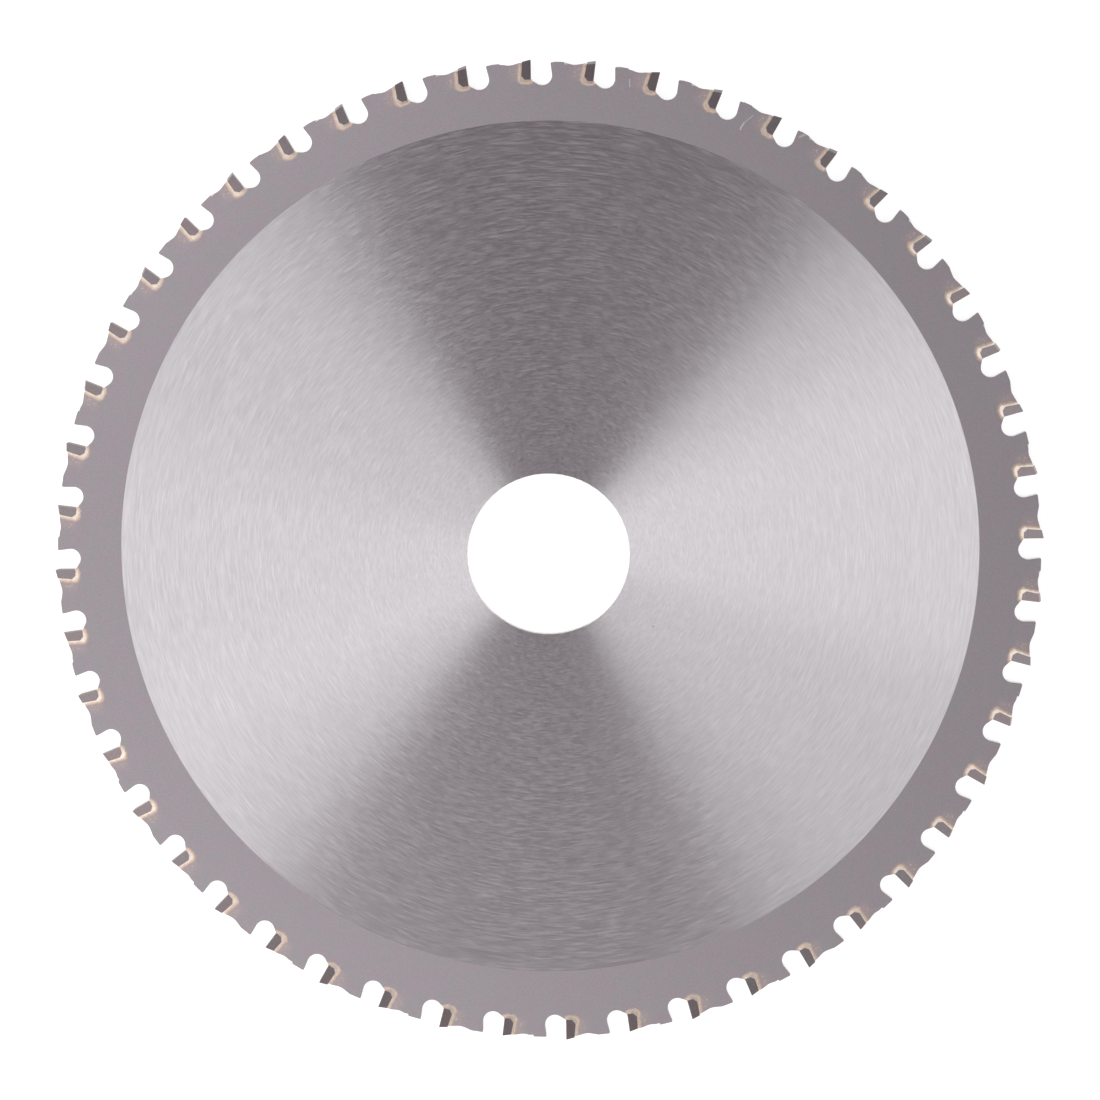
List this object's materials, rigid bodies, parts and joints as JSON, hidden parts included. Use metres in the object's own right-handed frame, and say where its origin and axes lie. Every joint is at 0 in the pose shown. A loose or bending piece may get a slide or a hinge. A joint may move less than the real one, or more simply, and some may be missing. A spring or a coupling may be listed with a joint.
{
  "type": "circular saw blade",
  "caption": "Carbide-tipped circular saw blade: thin steel plate with a round arbor bore, a ground centre, a blasted rim and brazed tips with alternate bevels.",
  "frame": {"origin": "centre of the bore at half the plate's thickness", "axes": "+Z along the bore's axis, out of the face that lies up; seen from +Z the teeth cut clockwise; +X is 8.04 degrees before the middle of the first gullet"},
  "size_m": [0.184, 0.184, 0.002],
  "materials": {
    "plate": "ground middle with fine circular lines, matte blasted rim",
    "carbide": "satin, dark",
    "braze": "satin, pale tan"
  },
  "bodies": {
    "root": {"blade_body": "plate", "carbide_tip_01": "carbide", "carbide_tip_02": "carbide", "carbide_tip_03": "carbide", "carbide_tip_04": "carbide", "carbide_tip_05": "carbide", "carbide_tip_06": "carbide", "carbide_tip_07": "carbide", "carbide_tip_08": "carbide", "carbide_tip_09": "carbide", "carbide_tip_10": "carbide", "carbide_tip_11": "carbide", "carbide_tip_12": "carbide", "carbide_tip_13": "carbide", "carbide_tip_14": "carbide", "carbide_tip_15": "carbide", "carbide_tip_16": "carbide", "carbide_tip_17": "carbide", "carbide_tip_18": "carbide", "carbide_tip_19": "carbide", "carbide_tip_20": "carbide", "carbide_tip_21": "carbide", "carbide_tip_22": "carbide", "carbide_tip_23": "carbide", "carbide_tip_24": "carbide", "carbide_tip_25": "carbide", "carbide_tip_26": "carbide", "carbide_tip_27": "carbide", "carbide_tip_28": "carbide", "carbide_tip_29": "carbide", "carbide_tip_30": "carbide", "carbide_tip_31": "carbide", "carbide_tip_32": "carbide", "carbide_tip_33": "carbide", "carbide_tip_34": "carbide", "carbide_tip_35": "carbide", "carbide_tip_36": "carbide", "carbide_tip_37": "carbide", "carbide_tip_38": "carbide", "carbide_tip_39": "carbide", "carbide_tip_40": "carbide", "carbide_tip_41": "carbide", "carbide_tip_42": "carbide", "carbide_tip_43": "carbide", "carbide_tip_44": "carbide", "carbide_tip_45": "carbide", "carbide_tip_46": "carbide", "carbide_tip_47": "carbide", "carbide_tip_48": "carbide", "braze_seams": "braze"}
  },
  "joints": []
}
